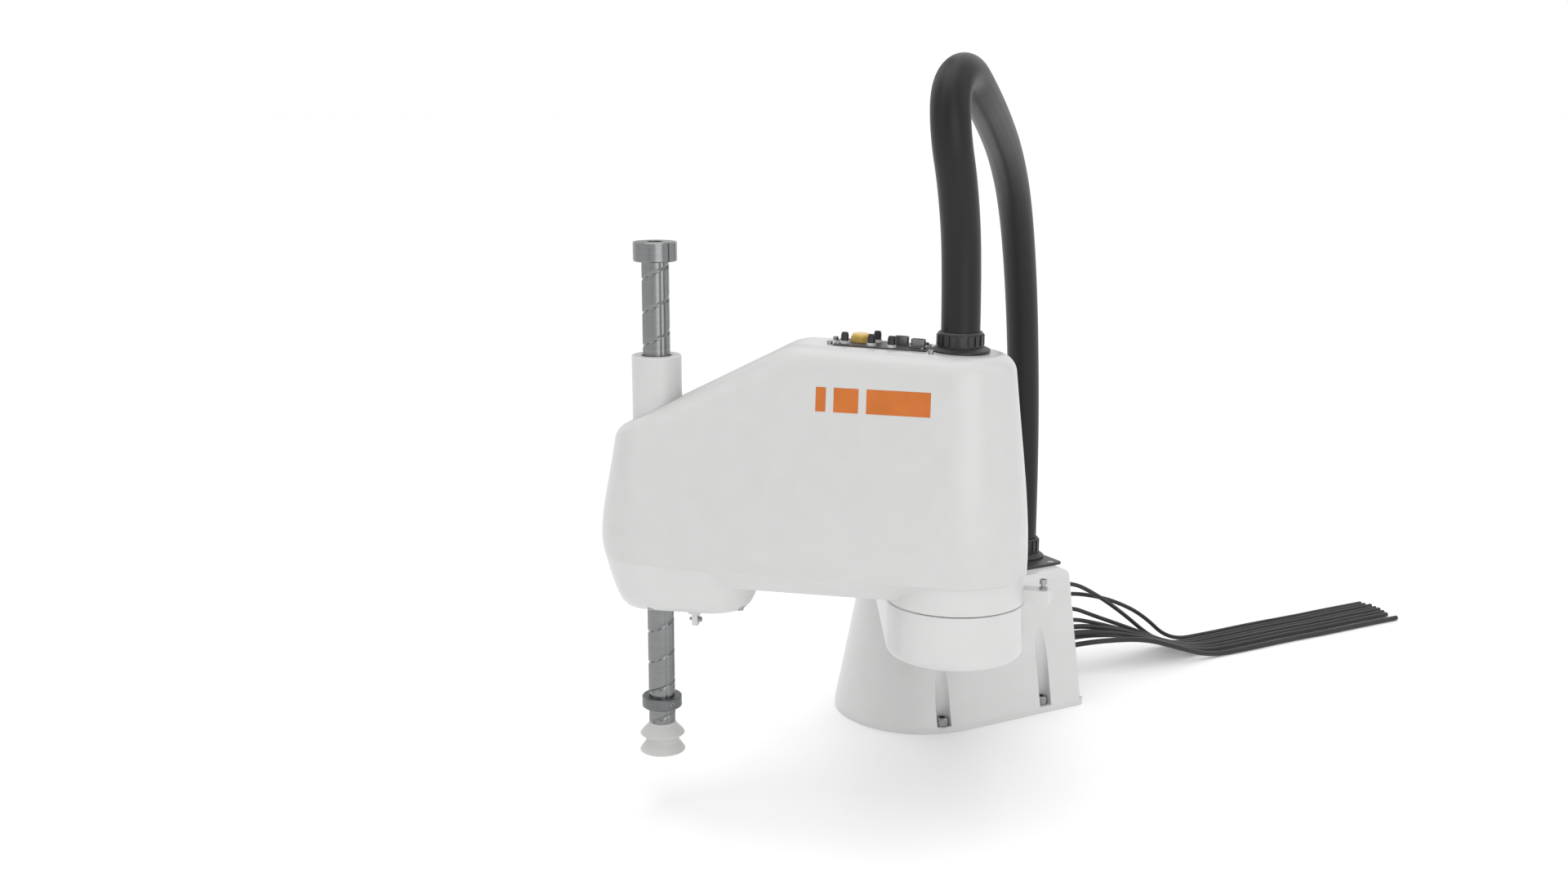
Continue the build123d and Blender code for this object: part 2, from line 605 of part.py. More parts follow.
LAMP_RADIUS = 8.8
with BuildPart() as signal_lamp:
    tube(roof, PLATE, PLATE + 7.5, LAMP_RADIUS, places=lamp_places)
    fillet(signal_lamp.edges().sort_by(Axis.Z)[-1], 2.5)
    with BuildSketch(roof.offset(PLATE + 1)) as lamp_ribs:
        with Locations(*lamp_places):
            with PolarLocations(LAMP_RADIUS, 20):
                Circle(0.7)
    extrude(lamp_ribs.sketch, amount=3.5)
save(signal_lamp, "signal_lamp")

with BuildPart() as cable_connectors:
    block(roof, PLATE, PLATE + 1.5, 15.5, 11, places=connector_places, corner=1)
    block(roof, PLATE + 1.5, PLATE + 7.5, 12.5, 7.5, places=connector_places, corner=2)
    block(roof, PLATE + 3.5, PLATE + 7.5, 10.5, 5.5, places=connector_places, corner=1.5, mode=Mode.SUBTRACT)
save(cable_connectors, "cable_connectors")

# ---------------------------------------------------------------- drives inside the outer arm
PLATE_BOTTOM = 258.0
PLATE_TOP = 262.0
PULLEY_RADIUS = 30.0
PINION_RADIUS = 15.0
BELT_GAP = 0.1
BELT_THICK = 1.5
PULLEY_WIDTH = 10.0
TURN_PULLEY = 246.5
LIFT_PULLEY = 316.0
MOTOR_WIDTH = 42.0
SHAFT_RADIUS = 3.0
lift_motor_place = (185.0, 23.0)
turn_motor_place = (185.0, -23.0)
motor_distance = hypot(OUTER_LENGTH - lift_motor_place[0], lift_motor_place[1])
post_places = [(OUTER_LENGTH + 10, 36.5), (OUTER_LENGTH + 10, -36.5), (OUTER_LENGTH - 38, 0)]
foot_places = [(100, 32), (100, -32), (222, 30), (222, -30)]

with BuildPart() as elbow_output:
    tube(outer, 191, 235.9, ELBOW_SHAFT - 0.01)
save(elbow_output, "elbow_output")

with BuildPart() as elbow_motor:
    block(outer, PARTING, 345, 60, 60, corner=6)
    tube(outer, 345, 362, 25)
    fillet(elbow_motor.faces().sort_by(Axis.Z)[-1].edges(), 3)
    tube(outer, 236, PARTING, 6.5)
save(elbow_motor, "elbow_motor")

with BuildPart() as motor_plate:
    block(outer, PLATE_BOTTOM, PLATE_TOP, 220, 84, places=((200, 0),), corner=20)
    tube(outer, PLATE_BOTTOM, PLATE_TOP, 22, places=quill_place, mode=Mode.SUBTRACT)
    tube(outer, PLATE_BOTTOM, PLATE_TOP, 12, places=(turn_motor_place,), mode=Mode.SUBTRACT)
    with BuildSketch(outer.offset(PLATE_BOTTOM)) as nose_trim:
        with Locations((OUTER_LENGTH, 0)):
            Circle(60)
            Circle(44, mode=Mode.SUBTRACT)
        with Locations((OUTER_LENGTH - 40, 0)):
            Rectangle(80, 130, mode=Mode.SUBTRACT)
    extrude(nose_trim.sketch, amount=PLATE_TOP - PLATE_BOTTOM, mode=Mode.SUBTRACT)
    tube(outer, POCKET_FLOOR, PLATE_BOTTOM, 4, places=foot_places)
save(motor_plate, "motor_plate")

with BuildPart() as bearing_bridge:
    tube(outer, 300, 308, 41, bore=NUT_RADIUS + RUNNING_GAP, places=quill_place)
    tube(outer, PLATE_TOP, 300, 3.5, places=post_places)
save(bearing_bridge, "bearing_bridge")

with BuildPart() as spline_bearing:
    bearing_bore = NUT_RADIUS + RUNNING_GAP
    tube(outer, BEARING_FLOOR, 236, BEARING_RADIUS - 0.02, bore=bearing_bore, places=quill_place)
save(spline_bearing, "spline_bearing")


def nut(bottom, top, label):
    """Ball nut round the quill."""
    with BuildPart() as ring:
        tube(outer, bottom, top, NUT_RADIUS, bore=QUILL_RADIUS + RUNNING_GAP, places=quill_place)
        chamfer(ring.edges().filter_by(GeomType.CIRCLE).group_by(SortBy.RADIUS)[-1], 0.5)
    save(ring, label)


def pulley(place, bottom, radius, teeth, label, bore=0.0, shaft=()):
    """Toothed belt pulley, on its own motor shaft where one is given."""
    with BuildPart() as wheel:
        tube(outer, bottom, bottom + PULLEY_WIDTH, radius, bore=bore, places=(place,))
        if shaft:
            tube(outer, *shaft, SHAFT_RADIUS, places=(place,))
        with BuildSketch(outer.offset(bottom)) as gaps:
            with Locations(place):
                with PolarLocations(radius, teeth):
                    Circle(0.75)
        extrude(gaps.sketch, amount=PULLEY_WIDTH, mode=Mode.SUBTRACT)
    save(wheel, label)


def belt(place, bottom, label):
    """Belt from the quill's pulley to a motor's, with a flat inner face."""
    angle = degrees(atan2(place[1], place[0] - OUTER_LENGTH))
    run = Plane(outer.from_local_coords(Vector(OUTER_LENGTH, 0, bottom + 1)), outer.x_dir, (0, 0, 1))
    run = run.rotated((0, 0, angle))
    inside = link_outline(run, PULLEY_RADIUS + BELT_GAP, PINION_RADIUS + BELT_GAP, 0, motor_distance)
    far_side = PINION_RADIUS + BELT_GAP + BELT_THICK
    outside = link_outline(run, PULLEY_RADIUS + BELT_GAP + BELT_THICK, far_side, 0, motor_distance)
    with BuildPart() as band:
        extrude(outside, amount=PULLEY_WIDTH - 2)
        extrude(inside, amount=PULLEY_WIDTH - 2, mode=Mode.SUBTRACT)
    save(band, label)


def drive_motor(place, bottom, top, shaft_bottom, shaft_top, label):
    """Small square servo motor with its shaft's guide bush."""
    with BuildPart() as motor:
        block(outer, bottom, top, MOTOR_WIDTH, MOTOR_WIDTH, places=(place,), corner=4)
        tube(outer, shaft_bottom, shaft_top, 11, places=(place,))
        shaft_bore = SHAFT_RADIUS + RUNNING_GAP
        tube(outer, shaft_bottom - 30, shaft_top + 30, shaft_bore, places=(place,), mode=Mode.SUBTRACT)
    save(motor, label)


nut(205, 257.5, "spline_nut")
pulley((OUTER_LENGTH, 0), TURN_PULLEY, PULLEY_RADIUS, 60, "turn_pulley", bore=NUT_RADIUS)
pulley(turn_motor_place, TURN_PULLEY, PINION_RADIUS, 30, "turn_pinion", shaft=(TURN_PULLEY, 285))
belt(turn_motor_place, TURN_PULLEY, "turn_belt")
drive_motor(turn_motor_place, PLATE_TOP, 311, PLATE_BOTTOM, PLATE_TOP, "turn_motor")

nut(296, 328, "lift_nut")
pulley((OUTER_LENGTH, 0), LIFT_PULLEY, PULLEY_RADIUS, 60, "lift_pulley", bore=NUT_RADIUS)
pulley(lift_motor_place, LIFT_PULLEY, PINION_RADIUS, 30, "lift_pinion", shaft=(290, LIFT_PULLEY))
belt(lift_motor_place, LIFT_PULLEY, "lift_belt")
drive_motor(lift_motor_place, PLATE_TOP, 311, 311, 314, "lift_motor")

# ---------------------------------------------------------------- quill
GROOVE_RADIUS = 1.1
COLLAR_GAP = 0.02
TOP_COLLAR = 518.6
LOW_COLLAR = 98.7
LOW_COLLAR_TOP = 109.3
TOP_COLLAR_RADIUS = 19.85
LOW_COLLAR_RADIUS = 18.7
SET_SCREW_RADIUS = 1.9

with BuildPart() as quill_shaft:
    tube(quill, QUILL_BOTTOM, QUILL_TOP, QUILL_RADIUS, bore=QUILL_BORE)
    with BuildSketch(quill.offset(QUILL_BOTTOM)) as grooves:
        with PolarLocations(QUILL_RADIUS + 0.3, 4, 35):
            Circle(GROOVE_RADIUS)
    extrude(grooves.sketch, amount=QUILL_TOP - QUILL_BOTTOM, mode=Mode.SUBTRACT)
    chamfer(quill_shaft.faces().sort_by(Axis.Z)[-1].inner_wires()[0].edges(), 1)
save(quill_shaft, "quill_shaft")


def spoke_faces(height, radius, count):
    """Planes round a collar that face outwards, one for each radial screw."""
    faces = []
    for turn in range(count):
        spoke = quill.offset(height).rotated((0, 0, turn * 360 / count + 20))
        faces.append(Plane(spoke.from_local_coords(Vector(radius, 0, 0)), (0, 0, 1), spoke.x_dir))
    return faces


def collar(bottom, top, radius, screw_count, label):
    """Clamp collar with radial screw holes."""
    with BuildPart() as ring:
        tube(quill, bottom, top, radius, bore=QUILL_RADIUS + COLLAR_GAP)
        chamfer(ring.edges().filter_by(GeomType.CIRCLE).group_by(SortBy.RADIUS)[-1], 0.8)
        for face in spoke_faces((bottom + top) / 2, radius + 1, screw_count):
            with BuildSketch(face) as hole:
                Circle(SET_SCREW_RADIUS + 0.02)
            extrude(hole.sketch, amount=-(radius + 1 - QUILL_RADIUS), mode=Mode.SUBTRACT)
    save(ring, label)


collar(TOP_COLLAR, QUILL_TOP, TOP_COLLAR_RADIUS, 2, "top_collar")
collar(LOW_COLLAR, LOW_COLLAR_TOP, LOW_COLLAR_RADIUS, 3, "low_collar")

with BuildPart() as collar_screws:
    screw_faces = spoke_faces((TOP_COLLAR + QUILL_TOP) / 2, TOP_COLLAR_RADIUS - 0.6, 2)
    screw_faces += spoke_faces((LOW_COLLAR + LOW_COLLAR_TOP) / 2, LOW_COLLAR_RADIUS - 0.6, 3)
    for face in screw_faces:
        with BuildSketch(face) as end:
            Circle(SET_SCREW_RADIUS)
        extrude(end.sketch, amount=-5)
        with BuildSketch(face) as socket:
            RegularPolygon(1.0, 6)
        extrude(socket.sketch, amount=-2, mode=Mode.SUBTRACT)
save(collar_screws, "collar_screws")

with BuildPart() as cup_stem:
    tube(quill, 74, QUILL_BOTTOM + 18, QUILL_BORE, bore=2.5)
    tube(quill, 82, QUILL_BOTTOM, 9)
save(cup_stem, "cup_stem")

side_of_quill = Plane(quill_origin, outer.x_dir, -outer.y_dir)
with BuildPart() as suction_cup:
    with BuildSketch(side_of_quill) as section:
        with BuildLine():
            upper_bellows = [(9, 84), (12.6, 83.4), (13, 81), (21, 72.6), (21, 71.4)]
            lower_bellows = [(13.6, 66.5), (21.4, 56.2), (21.2, 55)]
            outside = upper_bellows + lower_bellows
            inside = [(20, 55), (11.2, 66), (11.2, 67.2), (18.2, 72), (11, 79), (7, 79), (7, 82), (9, 82)]
            Polyline(*outside, *inside, outside[0])
        make_face()
    revolve(section.sketch, axis=Axis(quill_origin, (0, 0, 1)))
save(suction_cup, "suction_cup")
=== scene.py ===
"""Looks of the four-axis SCARA robot arm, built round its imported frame. Metres, in the frame's axes."""

import json
from math import cos, hypot, pi, radians, sin

import bmesh
import bpy
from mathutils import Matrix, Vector
from mathutils.bvhtree import BVHTree


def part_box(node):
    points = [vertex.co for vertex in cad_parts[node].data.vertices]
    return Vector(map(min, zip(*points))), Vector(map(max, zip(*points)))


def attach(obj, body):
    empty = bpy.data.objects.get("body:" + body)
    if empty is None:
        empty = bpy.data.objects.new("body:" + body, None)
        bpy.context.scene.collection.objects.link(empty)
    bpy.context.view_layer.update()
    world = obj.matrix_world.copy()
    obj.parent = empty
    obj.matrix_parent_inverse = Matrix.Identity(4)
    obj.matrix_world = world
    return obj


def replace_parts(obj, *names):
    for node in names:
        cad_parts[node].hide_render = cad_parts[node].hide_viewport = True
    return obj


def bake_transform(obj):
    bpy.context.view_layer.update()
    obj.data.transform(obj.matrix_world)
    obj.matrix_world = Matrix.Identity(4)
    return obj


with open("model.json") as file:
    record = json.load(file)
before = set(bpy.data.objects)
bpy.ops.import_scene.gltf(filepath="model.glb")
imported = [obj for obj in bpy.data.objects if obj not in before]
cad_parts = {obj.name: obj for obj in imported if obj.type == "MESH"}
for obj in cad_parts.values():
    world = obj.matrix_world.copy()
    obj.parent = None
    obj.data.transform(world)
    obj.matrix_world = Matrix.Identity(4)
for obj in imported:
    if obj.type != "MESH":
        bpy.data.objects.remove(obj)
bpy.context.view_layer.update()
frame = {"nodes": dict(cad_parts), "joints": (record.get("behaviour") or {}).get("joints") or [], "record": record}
MM = 0.001

# The frame's own places.
joints = {joint["name"]: joint for joint in frame["joints"]}
mounts = {mount["name"]: mount for mount in frame["record"]["mounts"]}
elbow = Vector(joints["elbow_turn"]["pos_m"])
quill_axis = Vector(joints["quill_turn"]["pos_m"])
arm_along = Vector((quill_axis.x - elbow.x, quill_axis.y - elbow.y, 0)).normalized()
arm_side = Vector((-arm_along.y, arm_along.x, 0))


# ---------------------------------------------------------------- camera, light and floor
CAMERA_PLACE = (0.969, 1.430, 0.658)
CAMERA_HEADING = (-0.4872, -0.8733)
CAMERA_PITCH = radians(11.78)
CAMERA_LENS = 37.35


def make_camera():
    data = bpy.data.cameras.new("camera")
    data.lens = CAMERA_LENS
    data.sensor_width = 36.0
    camera = bpy.data.objects.new("camera", data)
    level = cos(CAMERA_PITCH)
    aim = Vector((CAMERA_HEADING[0] * level, CAMERA_HEADING[1] * level, -sin(CAMERA_PITCH)))
    camera.location = CAMERA_PLACE
    camera.rotation_euler = aim.to_track_quat("-Z", "Y").to_euler()
    bpy.context.scene.collection.objects.link(camera)
    bpy.context.scene.camera = camera


def area_light(name, place, target, size, power):
    data = bpy.data.lights.new(name, "AREA")
    data.shape = "DISK"
    data.size = size
    data.energy = power
    light = bpy.data.objects.new(name, data)
    light.location = place
    light.rotation_euler = (Vector(target) - Vector(place)).to_track_quat("-Z", "Y").to_euler()
    bpy.context.scene.collection.objects.link(light)


SKY_SIDE = 0.95
SKY_TOP = 1.4
SKY_BANDS = 5  # dark panels round the studio, which show as streaks in bright metal
BAND_TONE = 0.3
BAND_EDGE = (0.012, 0.03)  # where a panel starts to fade and where it has gone, in turns from its middle
# Name, place, aim, size and power of each lamp.
LAMPS = (
    ("key", (0.5, 0.2, 2.4), (0.15, 0.1, 0.2), 1.9, 9),
    ("fill", (0.5, 2.3, 0.7), (-0.05, 0.05, 0.15), 1.6, 7),
)


def math_node(nodes, links, operation, first, second):
    node = nodes.new("ShaderNodeMath")
    node.operation = operation
    for socket, value in zip(node.inputs, (first, second)):
        if isinstance(value, float):
            socket.default_value = value
        else:
            links.new(value, socket)
    return node.outputs[0]


def make_studio():
    """White backdrop, and for the light a sky that is brightest overhead, with dark panels round it."""
    world = bpy.data.worlds.new("studio")
    world.use_nodes = True
    nodes, links = world.node_tree.nodes, world.node_tree.links
    direction = nodes.new("ShaderNodeTexCoord").outputs["Generated"]
    height = nodes.new("ShaderNodeSeparateXYZ")
    links.new(direction, height.inputs[0])
    climb = nodes.new("ShaderNodeMapRange")
    climb.inputs["To Min"].default_value = SKY_SIDE
    climb.inputs["To Max"].default_value = SKY_TOP
    links.new(height.outputs["Z"], climb.inputs["Value"])
    bearing = nodes.new("ShaderNodeTexGradient")
    bearing.gradient_type = "RADIAL"
    links.new(direction, bearing.inputs["Vector"])
    wave = math_node(nodes, links, "PINGPONG", bearing.outputs["Fac"], 0.5 / SKY_BANDS)
    panel = nodes.new("ShaderNodeMapRange")
    panel.inputs["From Min"].default_value = BAND_EDGE[0]
    panel.inputs["From Max"].default_value = BAND_EDGE[1]
    panel.inputs["To Min"].default_value = BAND_TONE
    links.new(wave, panel.inputs["Value"])

    lit = nodes["Background"]
    strength = math_node(nodes, links, "MULTIPLY", climb.outputs[0], panel.outputs[0])
    links.new(strength, lit.inputs["Strength"])
    lit.inputs["Color"].default_value = (1, 1, 1, 1)
    backdrop = nodes.new("ShaderNodeBackground")
    backdrop.inputs["Color"].default_value = (1, 1, 1, 1)
    choice = nodes.new("ShaderNodeMixShader")
    links.new(nodes.new("ShaderNodeLightPath").outputs["Is Camera Ray"], choice.inputs[0])
    links.new(lit.outputs[0], choice.inputs[1])
    links.new(backdrop.outputs[0], choice.inputs[2])
    links.new(choice.outputs[0], nodes["World Output"].inputs["Surface"])
    bpy.context.scene.world = world
    bpy.context.scene.view_settings.view_transform = "Standard"
    for lamp in LAMPS:
        area_light(*lamp)


# ---------------------------------------------------------------- materials
def noise_node(nodes, links, vector, scale, detail):
    noise = nodes.new("ShaderNodeTexNoise")
    noise.inputs["Scale"].default_value = scale
    noise.inputs["Detail"].default_value = detail
    links.new(vector, noise.inputs["Vector"])
    return noise.outputs["Fac"]


def textured(
    name,
    colour,
    roughness,
    grain,
    relief,
    metallic=0.0,
    spread=0.05,
    tone=0.04,
    stretch=(1, 1, 1),
    source="Object",
    **finish,
):
    """Principled material whose tone, roughness and relief follow two sizes of noise."""
    material = bpy.data.materials.new(name)
    material.use_nodes = True
    nodes, links = material.node_tree.nodes, material.node_tree.links
    shader = nodes["Principled BSDF"]
    shader.inputs["Metallic"].default_value = metallic
    for socket, value in finish.items():
        shader.inputs[socket.replace("_", " ").title().replace("Ior", "IOR")].default_value = value
    mapping = nodes.new("ShaderNodeMapping")
    mapping.inputs["Scale"].default_value = stretch
    links.new(nodes.new("ShaderNodeTexCoord").outputs[source], mapping.inputs["Vector"])
    fine = noise_node(nodes, links, mapping.outputs["Vector"], grain, 4)
    broad = noise_node(nodes, links, mapping.outputs["Vector"], grain / 25, 3)

    ramp = nodes.new("ShaderNodeValToRGB")
    ramp.color_ramp.elements[0].position = 0.35
    ramp.color_ramp.elements[1].position = 0.65
    ramp.color_ramp.elements[0].color = (*[channel * (1 - tone) for channel in colour], 1)
    ramp.color_ramp.elements[1].color = (*[min(1, channel * (1 + tone)) for channel in colour], 1)
    links.new(broad, ramp.inputs["Fac"])
    links.new(ramp.outputs["Color"], shader.inputs["Base Color"])

    gloss = nodes.new("ShaderNodeMapRange")
    gloss.inputs["To Min"].default_value = roughness - spread
    gloss.inputs["To Max"].default_value = roughness + spread
    links.new(fine, gloss.inputs["Value"])
    links.new(gloss.outputs["Result"], shader.inputs["Roughness"])

    bump = nodes.new("ShaderNodeBump")
    bump.inputs["Strength"].default_value = relief
    bump.inputs["Distance"].default_value = 0.2 * MM
    links.new(fine, bump.inputs["Height"])
    links.new(bump.outputs["Normal"], shader.inputs["Normal"])
    return material


RINGS = (1, 1, 40)  # squeezes the noise into fine rings round an upright axis
STREAKS = (60, 0.8, 1)  # stretches it along a tube's length
materials = {
    "white_casting": textured(
        "white_enamel", (0.575, 0.575, 0.571), 0.34, 900, 0.12,
        tone=0.012, coat_weight=0.25, coat_roughness=0.18,
    ),
    "white_cover": textured(
        "white_moulding", (0.545, 0.545, 0.541), 0.33, 1300, 0.08,
        tone=0.012, coat_weight=0.2, coat_roughness=0.2,
    ),
    "chrome_steel": textured(
        "ground_chrome", (0.22, 0.226, 0.228), 0.17, 260, 0.15,
        metallic=1, stretch=RINGS,
    ),
    "dark_steel": textured(
        "blackened_steel", (0.16, 0.17, 0.17), 0.36, 300, 0.25,
        metallic=1, stretch=RINGS,
    ),
    "steel_screws": textured(
        "zinc_plate", (0.33, 0.335, 0.34), 0.3, 700, 0.2,
        metallic=1, tone=0.1,
    ),
    "aluminium_parts": textured(
        "machined_aluminium", (0.2, 0.202, 0.205), 0.3, 500, 0.25,
        metallic=1, tone=0.06,
    ),
    "motor_black": textured(
        "black_anodised", (0.03, 0.03, 0.033), 0.42, 900, 0.2,
        metallic=0.6, tone=0.1,
    ),
    "black_plastic": textured("black_moulding", (0.018, 0.018, 0.019), 0.42, 1100, 0.25, tone=0.15),
    "dark_plate": textured(
        "dark_sheet", (0.05, 0.05, 0.053), 0.44, 800, 0.3,
        metallic=0.3, tone=0.12,
    ),
    "hose_black": textured(
        "streaked_conduit", (0.008, 0.008, 0.0085), 0.4, 1, 0.3,
        spread=0.09, tone=0.35, stretch=STREAKS, source="UV", specular_ior_level=0.3,
    ),
    "cable_black": textured("cable_jacket", (0.014, 0.014, 0.015), 0.46, 700, 0.3, tone=0.2),
    "belt_rubber": textured("belt_rubber", (0.02, 0.02, 0.02), 0.7, 1200, 0.5, tone=0.2),
    "lamp_yellow": textured(
        "amber_lens", (0.6, 0.42, 0.1), 0.3, 500, 0.1,
        tone=0.06, subsurface_weight=0.3, subsurface_scale=2 * MM,
    ),
    "cup_silicone": textured(
        "white_silicone", (0.5, 0.5, 0.49), 0.45, 600, 0.15,
        tone=0.03, subsurface_weight=0.35, subsurface_scale=3 * MM,
    ),
    "orange_mark": textured("orange_print", (0.5, 0.13, 0.012), 0.4, 1200, 0.1, tone=0.05),
}


def dress_cad_nodes():
    """Gives every CAD node the finish of its own slot."""
    for part in frame["record"]["subparts"]:
        node = frame["nodes"][part["node"]]
        finish = materials[part["material_slot"]]
        if not node.material_slots:
            node.data.materials.append(finish)
        for place in node.material_slots:
            place.material = finish


# ---------------------------------------------------------------- making meshes
def new_piece(name, mesh, body, slot):
    piece = bpy.data.objects.new(name, mesh)
    bpy.context.scene.collection.objects.link(piece)
    mesh.materials.append(materials[slot])
    if body:
        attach(piece, body)
    return piece


def finish_mesh(name, model, smooth_below=35):
    """Turns a bmesh into a mesh with smooth faces and crisp edges."""
    bmesh.ops.recalc_face_normals(model, faces=model.faces)
    for face in model.faces:
        face.smooth = True
    for edge in model.edges:
        edge.smooth = edge.calc_face_angle(0) < radians(smooth_below)
    mesh = bpy.data.meshes.new(name)
    model.to_mesh(mesh)
    model.free()
    return mesh


def skin_rings(model, rings, close_ends=True):
    """Joins rings of equal count into a closed skin."""
    count = len(rings[0])
    for low, high in zip(rings, rings[1:]):
        for i in range(count):
            model.faces.new((low[i], low[(i + 1) % count], high[(i + 1) % count], high[i]))
    if close_ends:
        model.faces.new(rings[0])
        model.faces.new(rings[-1])


def route_curve(name, points, radius=0.0):
    """Smooth NURBS line with the points as its control points, round if it has a radius."""
    data = bpy.data.curves.new(name, "CURVE")
    data.dimensions = "3D"
    spline = data.splines.new("NURBS")
    spline.points.add(len(points) - 1)
    for target, point in zip(spline.points, points):
        target.co = (*point, 1)
    spline.order_u = 3
    spline.use_endpoint_u = True
    spline.resolution_u = 16
    data.resolution_u = 16
    data.bevel_depth = radius
    data.bevel_resolution = 5
    data.use_fill_caps = radius > 0
    curve = bpy.data.objects.new(name, data)
    bpy.context.scene.collection.objects.link(curve)
    return curve


# ---------------------------------------------------------------- cable tails
GLAND_END = -183
FIRST_RUN_END = -213
# Diameter, exit as (y, z), points in the air, first and last lane on the floor, and the end's x, in mm.
TAILS = {
    "cable_1": (
        5,
        (-4, 109),
        [(-250, -5, 90), (-298, -7, 57), (-345, -10, 19), (-380, -11, 2.5)],
        (-11, -7),
        -718,
    ),
    "cable_2": (
        5,
        (-10, 93),
        [(-250, -13, 85), (-295, -17, 69), (-342, -21, 44), (-389, -22, 2.5)],
        (-22, -14),
        -718,
    ),
    "cable_3": (
        5,
        (-3, 79),
        [(-250, -3, 62), (-298, -4, 41), (-345, -4, 20), (-385, -4, 2.5)],
        (-4, 0),
        -722,
    ),
    "cable_4": (
        5,
        (0, 65),
        [(-250, 1, 54), (-298, 3, 37), (-345, 4, 18), (-390, 4, 2.5)],
        (4, 10),
        -719,
    ),
    "cable_5": (
        6,
        (6, 57.5),
        [(-250, 9, 51), (-298, 11, 37), (-345, 12, 20), (-395, 12.5, 3)],
        (12.5, 19),
        -716,
    ),
    "cable_6": (
        6,
        (13, 52.5),
        [(-250, 17, 47), (-298, 25, 36), (-345, 30, 19), (-395, 31, 3)],
        (31, 38),
        -708,
    ),
    "cable_7": (
        6,
        (6, 44),
        [(-250, 11, 42.5), (-298, 17, 35), (-345, 21, 19), (-395, 22, 3)],
        (22, 29),
        -712,
    ),
    "cable_8": (
        6,
        (13, 37),
        [(-250, 25, 39.5), (-298, 38, 37), (-345, 45, 20), (-392, 46, 3)],
        (46, 54),
        -708,
    ),
}
TAIL_LENGTHS = (0.566, 0.558, 0.554, 0.546, 0.541, 0.533, 0.535, 0.534)
FLOOR_STEPS = (0.18, 0.40, 0.62, 0.82, 1.0)
FLOOR_DRIFT = (1.5, -1.0, 0.8, -0.6, 0.0)


def make_cables():
    for (name, tail), length in zip(TAILS.items(), TAIL_LENGTHS):
        diameter, (exit_y, exit_z), air, (first_lane, last_lane), end_x = tail
        touch_x = air[-1][0]
        floor = []
        for share, drift in zip(FLOOR_STEPS, FLOOR_DRIFT):
            lane = first_lane + (last_lane - first_lane) * share
            floor.append((touch_x + (end_x - touch_x) * share, lane + drift, diameter / 2))
        start = [(GLAND_END, exit_y, exit_z), (FIRST_RUN_END, exit_y, exit_z)]
        points = [Vector(point) * MM for point in start + air + floor]
        cable = route_curve(f"{name}_jacket", points, diameter / 2 * MM)
        cable.data.materials.append(materials["cable_black"])
        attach(cable, "base")
        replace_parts(cable, name)


# ---------------------------------------------------------------- hose
HOSE_DIAMETER = 0.034
HOSE_FOOT = Vector((-0.137, 0, 0.175))
HOSE_HEAD_HEIGHT = 464
hose_span = hypot(elbow.x - HOSE_FOOT.x, elbow.y) / MM
# Distance from the rear fitting towards the elbow axis, height, and shift to the right, in mm.
HOSE_ROUTE = [
    (0, 175, 0),
    (0, 262, 0),
    (17, 360, 0),
    (57, 470, 0),
    (114, 557, 0),
    (186, 609, 0),
    (270, 643, 0),
    (345, 667, 0),
    (398, 686, 3),
    (436, 671, 8),
    (448, 633, 5),
    (429, 588, 1),
    (hose_span, 528, 0),
    (hose_span, HOSE_HEAD_HEIGHT, 0),
]


def tube_mesh(name, path, radius, around=48):
    """Closed round tube along a path, with u round it and v along it."""
    model = bmesh.new()
    uv = model.loops.layers.uv.new("UVMap")
    heading = (path[1] - path[0]).normalized()
    side = heading.orthogonal().normalized()
    rings, travelled, along = [], 0.0, []
    for i, point in enumerate(path):
        ahead = (path[min(i + 1, len(path) - 1)] - path[max(i - 1, 0)]).normalized()
        side = heading.rotation_difference(ahead) @ side
        heading = ahead
        other = heading.cross(side)
        turns = [2 * pi * k / around for k in range(around)]
        rings.append([model.verts.new(point + (side * cos(a) + other * sin(a)) * radius) for a in turns])
        travelled += (point - path[i - 1]).length if i else 0.0
        along.append(travelled)
    for i in range(len(rings) - 1):
        for k in range(around):
            n = (k + 1) % around
            face = model.faces.new((rings[i][k], rings[i][n], rings[i + 1][n], rings[i + 1][k]))
            corners = ((k, i), (k + 1, i), (k + 1, i + 1), (k, i + 1))
            for loop, (turn, row) in zip(face.loops, corners):
                loop[uv].uv = (turn / around, along[row])
    model.faces.new(rings[0])
    model.faces.new(rings[-1])
    return finish_mesh(name, model)


def make_hose():
    across = Vector((elbow.x - HOSE_FOOT.x, elbow.y, 0)).normalized()
    right = Vector((across.y, -across.x, 0))
    points = []
    for along, height, shift in HOSE_ROUTE:
        points.append(Vector((HOSE_FOOT.x, 0, height * MM)) + (across * along + right * shift) * MM)
    line = route_curve("hose_line", points)
    traced = bpy.data.meshes.new_from_object(line)
    path = [vertex.co.copy() for vertex in traced.vertices]
    bpy.data.objects.remove(line)
    mesh = tube_mesh("conduit_hose", path, HOSE_DIAMETER / 2)
    hose = new_piece("conduit_hose", mesh, None, "hose_black")
    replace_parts(hose, "hose")
    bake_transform(hose)


# ---------------------------------------------------------------- quill
SCREW_LEAD = 0.030
GROOVE_HALF = 1.7 * MM
GROOVE_DEPTH = 0.9 * MM
SPLINE_HALF = 1.5 * MM
SPLINE_DEPTH = 0.7 * MM
SPLINE_COUNT = 4
QUILL_BORE = 7 * MM
BORE_DEPTH = 15 * MM
SAME_HEIGHT = 0.01 * MM
SPLIT_TOLERANCE = 1e-7
ROWS_PER_LEAD = 40
AROUND = 120


def groove(distance, half_width, depth):
    """Round-bottomed groove: its depth at a distance from its middle."""
    share = min(1.0, abs(distance) / half_width)
    return depth * (1 - share * share)


